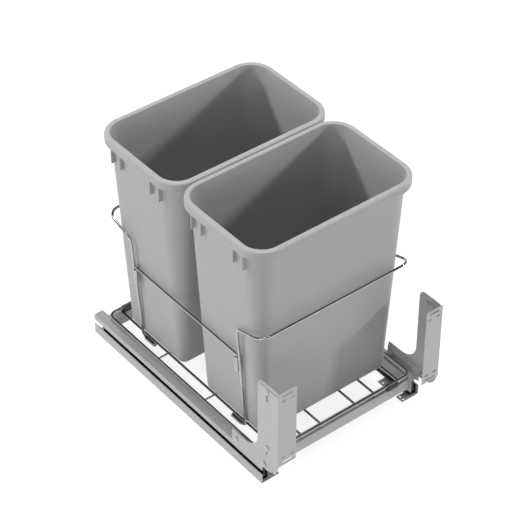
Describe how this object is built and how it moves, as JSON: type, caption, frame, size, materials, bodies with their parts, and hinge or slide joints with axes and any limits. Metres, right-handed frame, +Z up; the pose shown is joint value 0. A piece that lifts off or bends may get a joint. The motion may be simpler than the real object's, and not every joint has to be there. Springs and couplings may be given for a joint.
{
  "type": "pull out bin frame",
  "caption": "Bottom-mount pull-out frame with ball slides, wire tray, hoops and door brackets, holding two tapered lift-out waste bins.",
  "frame": {"origin": "middle of the footprint, on the floor", "axes": "+X across the width, -Y the way it pulls out of the cabinet, +Z up"},
  "size_m": [0.3796, 0.5608, 0.5011],
  "materials": {
    "zinc_steel": "satin zinc plated sheet",
    "slide_steel": "greased zinc plated sheet",
    "chrome_wire": "polished",
    "ball_steel": "polished",
    "screw_steel": "zinc plated",
    "bin_plastic": "fine satin texture",
    "clip_plastic": "satin"
  },
  "bodies": {
    "base": {"left_base_rail": "zinc_steel", "right_base_rail": "zinc_steel", "left_lower_runner": "slide_steel", "right_lower_runner": "slide_steel"},
    "carriage": {"left_upper_runner": "slide_steel", "right_upper_runner": "slide_steel", "left_side_rail": "zinc_steel", "right_side_rail": "zinc_steel", "front_cross_rail": "zinc_steel", "back_cross_rail": "zinc_steel", "tray_perimeter_wire": "chrome_wire", "tray_long_wires": "chrome_wire", "tray_cross_wires": "chrome_wire", "wire_clips": "clip_plastic", "hoop_sockets": "chrome_wire", "front_hoop": "chrome_wire", "back_hoop": "chrome_wire", "rod_sleeves": "chrome_wire", "left_tie_rod": "chrome_wire", "right_tie_rod": "chrome_wire", "left_bracket_plate": "zinc_steel", "right_bracket_plate": "zinc_steel", "left_plate_screws": "screw_steel", "right_plate_screws": "screw_steel", "left_bracket_screws": "screw_steel", "right_bracket_screws": "screw_steel"},
    "front_bin": {"front_bin": "bin_plastic"},
    "back_bin": {"back_bin": "bin_plastic"},
    "left_middle": {"left_middle_member": "slide_steel"},
    "left_lower_cage": {"left_lower_cage": "slide_steel", "left_lower_balls": "ball_steel"},
    "left_upper_cage": {"left_upper_cage": "slide_steel", "left_upper_balls": "ball_steel"},
    "left_door_bracket": {"left_door_bracket": "zinc_steel"},
    "right_middle": {"right_middle_member": "slide_steel"},
    "right_lower_cage": {"right_lower_cage": "slide_steel", "right_lower_balls": "ball_steel"},
    "right_upper_cage": {"right_upper_cage": "slide_steel", "right_upper_balls": "ball_steel"},
    "right_door_bracket": {"right_door_bracket": "zinc_steel"}
  },
  "joints": [
    {"name": "carriage_slide", "type": "slide", "parent": "base", "child": "carriage", "axis": [0, -1, 0], "range_m": [0, 0.5]},
    {"name": "left_middle_slide", "type": "slide", "parent": "base", "child": "left_middle", "axis": [0, -1, 0], "range_m": [0, 0.25]},
    {"name": "left_lower_cage_slide", "type": "slide", "parent": "base", "child": "left_lower_cage", "axis": [0, -1, 0], "range_m": [0, 0.125]},
    {"name": "left_upper_cage_slide", "type": "slide", "parent": "base", "child": "left_upper_cage", "axis": [0, -1, 0], "range_m": [0, 0.375]},
    {"name": "left_bracket_height", "type": "slide", "parent": "carriage", "child": "left_door_bracket", "axis": [0, 0, 1], "range_m": [0, 0.02]},
    {"name": "right_middle_slide", "type": "slide", "parent": "base", "child": "right_middle", "axis": [0, -1, 0], "range_m": [0, 0.25]},
    {"name": "right_lower_cage_slide", "type": "slide", "parent": "base", "child": "right_lower_cage", "axis": [0, -1, 0], "range_m": [0, 0.125]},
    {"name": "right_upper_cage_slide", "type": "slide", "parent": "base", "child": "right_upper_cage", "axis": [0, -1, 0], "range_m": [0, 0.375]},
    {"name": "right_bracket_height", "type": "slide", "parent": "carriage", "child": "right_door_bracket", "axis": [0, 0, 1], "range_m": [0, 0.02]},
    {"name": "front_bin_lift", "type": "slide", "parent": "carriage", "child": "front_bin", "axis": [0, 0, 1], "range_m": [0, 0.46]},
    {"name": "back_bin_lift", "type": "slide", "parent": "carriage", "child": "back_bin", "axis": [0, 0, 1], "range_m": [0, 0.46]}
  ],
  "couplings": [
    {"joint": "left_middle_slide", "follows": "carriage_slide", "ratio": 0.5},
    {"joint": "left_lower_cage_slide", "follows": "carriage_slide", "ratio": 0.25},
    {"joint": "left_upper_cage_slide", "follows": "carriage_slide", "ratio": 0.75},
    {"joint": "right_middle_slide", "follows": "carriage_slide", "ratio": 0.5},
    {"joint": "right_lower_cage_slide", "follows": "carriage_slide", "ratio": 0.25},
    {"joint": "right_upper_cage_slide", "follows": "carriage_slide", "ratio": 0.75}
  ]
}
